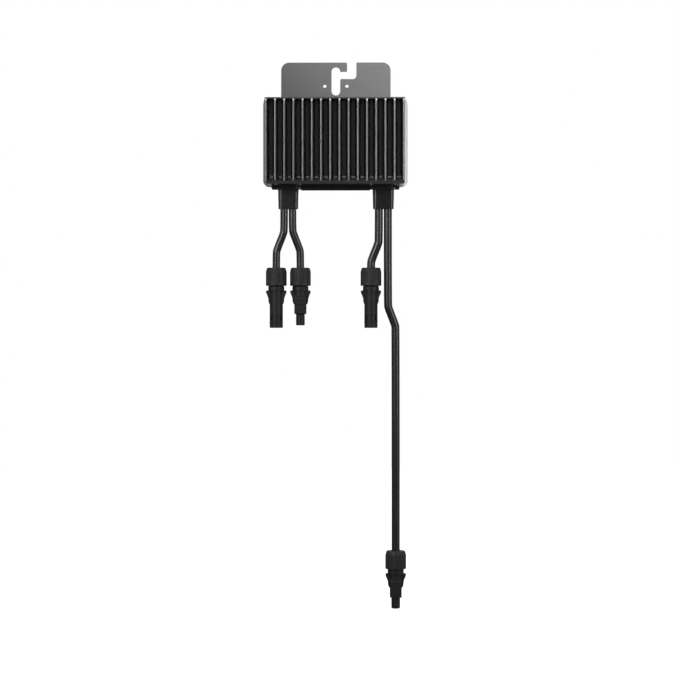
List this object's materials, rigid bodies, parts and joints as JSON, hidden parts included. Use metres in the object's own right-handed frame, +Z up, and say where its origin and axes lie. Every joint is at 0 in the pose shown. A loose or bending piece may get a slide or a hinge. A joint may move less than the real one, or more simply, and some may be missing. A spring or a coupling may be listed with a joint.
{
  "type": "solar module power optimizer",
  "caption": "Finned power optimizer that hangs behind a solar module on a slotted bracket, with glanded DC leads ending in latching connectors.",
  "frame": {"origin": "bolt seat: centre of the upper round end of the bracket's vertical slot, on the bracket's back face", "axes": "+X to the right seen from the finned front, +Z up towards the bracket's top edge, +Y out of the bracket's back"},
  "size_m": [0.1442, 0.048, 0.5428],
  "materials": {
    "bracket_steel": "satin, bead-blasted look",
    "housing_black": "satin black coating over die-cast aluminium",
    "cover_black": "satin black coating",
    "retainer_black": "matt moulded",
    "seal_rubber": "matt",
    "thermal_pad": "soft matt",
    "screw_steel": "satin",
    "board_green": "solder mask",
    "ferrite": "sintered, matt",
    "copper": "enamelled wire",
    "capacitor_case": "moulded",
    "chip_black": "moulded",
    "terminal_plastic": "moulded",
    "cable_jacket": "satin cross-linked jacket",
    "gland_plastic": "matt moulded",
    "connector_nut": "fine-textured moulded",
    "connector_body": "fine-textured moulded",
    "cage_plastic": "moulded",
    "contact_metal": "tin-plated copper"
  },
  "bodies": {
    "optimizer": {"back_cover": "cover_black", "board_screws": "screw_steel", "bracket_screws": "screw_steel", "circuit_board": "board_green", "comms_transformer": "ferrite", "control_chips": "chip_black", "cover_gasket": "seal_rubber", "cover_screws": "screw_steel", "film_capacitors": "capacitor_case", "gland_retainer": "retainer_black", "heatsink_housing": "housing_black", "inductor_cores": "ferrite", "inductor_windings": "copper", "input_a_cable_seal": "seal_rubber", "input_a_pin_contact": "contact_metal", "input_a_sleeve_housing": "connector_body", "input_b_cable_seal": "seal_rubber", "input_b_nose_housing": "connector_body", "input_b_nose_o_ring": "seal_rubber", "input_b_socket_contact": "contact_metal", "input_cable_tails": "cable_jacket", "input_gland": "gland_plastic", "input_lead_a": "cable_jacket", "input_lead_b": "cable_jacket", "mosfets": "chip_black", "mounting_bracket": "bracket_steel", "output_cable_tails": "cable_jacket", "output_gland": "gland_plastic", "output_lead_long": "cable_jacket", "output_lead_short": "cable_jacket", "output_long_cable_seal": "seal_rubber", "output_long_nose_housing": "connector_body", "output_long_nose_o_ring": "seal_rubber", "output_long_socket_contact": "contact_metal", "output_short_cable_seal": "seal_rubber", "output_short_pin_contact": "contact_metal", "output_short_sleeve_housing": "connector_body", "retainer_screws": "screw_steel", "thermal_pads": "thermal_pad", "wire_terminals": "terminal_plastic"},
    "input_a_cage": {"input_a_clamp_cage": "cage_plastic"},
    "input_a_nut": {"input_a_cap_nut": "connector_nut"},
    "input_b_cage": {"input_b_clamp_cage": "cage_plastic"},
    "input_b_nut": {"input_b_cap_nut": "connector_nut"},
    "input_b_front_latch": {"input_b_latch_front": "connector_body"},
    "input_b_rear_latch": {"input_b_latch_rear": "connector_body"},
    "output_short_cage": {"output_short_clamp_cage": "cage_plastic"},
    "output_short_nut": {"output_short_cap_nut": "connector_nut"},
    "output_long_cage": {"output_long_clamp_cage": "cage_plastic"},
    "output_long_nut": {"output_long_cap_nut": "connector_nut"},
    "output_long_front_latch": {"output_long_latch_front": "connector_body"},
    "output_long_rear_latch": {"output_long_latch_rear": "connector_body"}
  },
  "joints": [
    {"name": "input_a_nut_lift", "type": "slide", "parent": "optimizer", "child": "input_a_cage", "axis": [0, 0, 1], "range_m": [0, 0.009]},
    {"name": "input_a_nut_turn", "type": "hinge", "parent": "input_a_cage", "child": "input_a_nut", "pos_m": [-0.0588, -0.019, -0.2056], "axis": [0, 0, 1], "range_deg": [0, 2162]},
    {"name": "input_b_nut_lift", "type": "slide", "parent": "optimizer", "child": "input_b_cage", "axis": [0, 0, 1], "range_m": [0, 0.009]},
    {"name": "input_b_nut_turn", "type": "hinge", "parent": "input_b_cage", "child": "input_b_nut", "pos_m": [-0.0349, -0.019, -0.2056], "axis": [0, 0, 1], "range_deg": [0, 2162]},
    {"name": "input_b_latch_front_flex", "type": "hinge", "parent": "optimizer", "child": "input_b_front_latch", "pos_m": [-0.0349, -0.0261, -0.2337], "axis": [-1, 0, 0], "range_deg": [0, 7], "stiffness_Nm_per_rad": 0.24},
    {"name": "input_b_latch_rear_flex", "type": "hinge", "parent": "optimizer", "child": "input_b_rear_latch", "pos_m": [-0.0349, -0.0119, -0.2337], "axis": [1, 0, 0], "range_deg": [0, 7], "stiffness_Nm_per_rad": 0.24},
    {"name": "output_short_nut_lift", "type": "slide", "parent": "optimizer", "child": "output_short_cage", "axis": [0, 0, 1], "range_m": [0, 0.003]},
    {"name": "output_short_nut_turn", "type": "hinge", "parent": "output_short_cage", "child": "output_short_nut", "pos_m": [0.035, -0.019, -0.2056], "axis": [0, 0, 1], "range_deg": [0, 722]},
    {"name": "output_long_nut_lift", "type": "slide", "parent": "optimizer", "child": "output_long_cage", "axis": [0, 0, 1], "range_m": [0, 0.009]},
    {"name": "output_long_nut_turn", "type": "hinge", "parent": "output_long_cage", "child": "output_long_nut", "pos_m": [0.0595, -0.019, -0.4857], "axis": [0, 0, 1], "range_deg": [0, 2162]},
    {"name": "output_long_latch_front_flex", "type": "hinge", "parent": "optimizer", "child": "output_long_front_latch", "pos_m": [0.0595, -0.0261, -0.5138], "axis": [-1, 0, 0], "range_deg": [0, 7], "stiffness_Nm_per_rad": 0.24},
    {"name": "output_long_latch_rear_flex", "type": "hinge", "parent": "optimizer", "child": "output_long_rear_latch", "pos_m": [0.0595, -0.0119, -0.5138], "axis": [1, 0, 0], "range_deg": [0, 7], "stiffness_Nm_per_rad": 0.24}
  ],
  "couplings": [
    {"joint": "input_a_nut_turn", "follows": "input_a_nut_lift", "rad_per_m": 4188.8},
    {"joint": "input_b_nut_turn", "follows": "input_b_nut_lift", "rad_per_m": 4188.8},
    {"joint": "output_short_nut_turn", "follows": "output_short_nut_lift", "rad_per_m": 4188.8},
    {"joint": "output_long_nut_turn", "follows": "output_long_nut_lift", "rad_per_m": 4188.8}
  ]
}
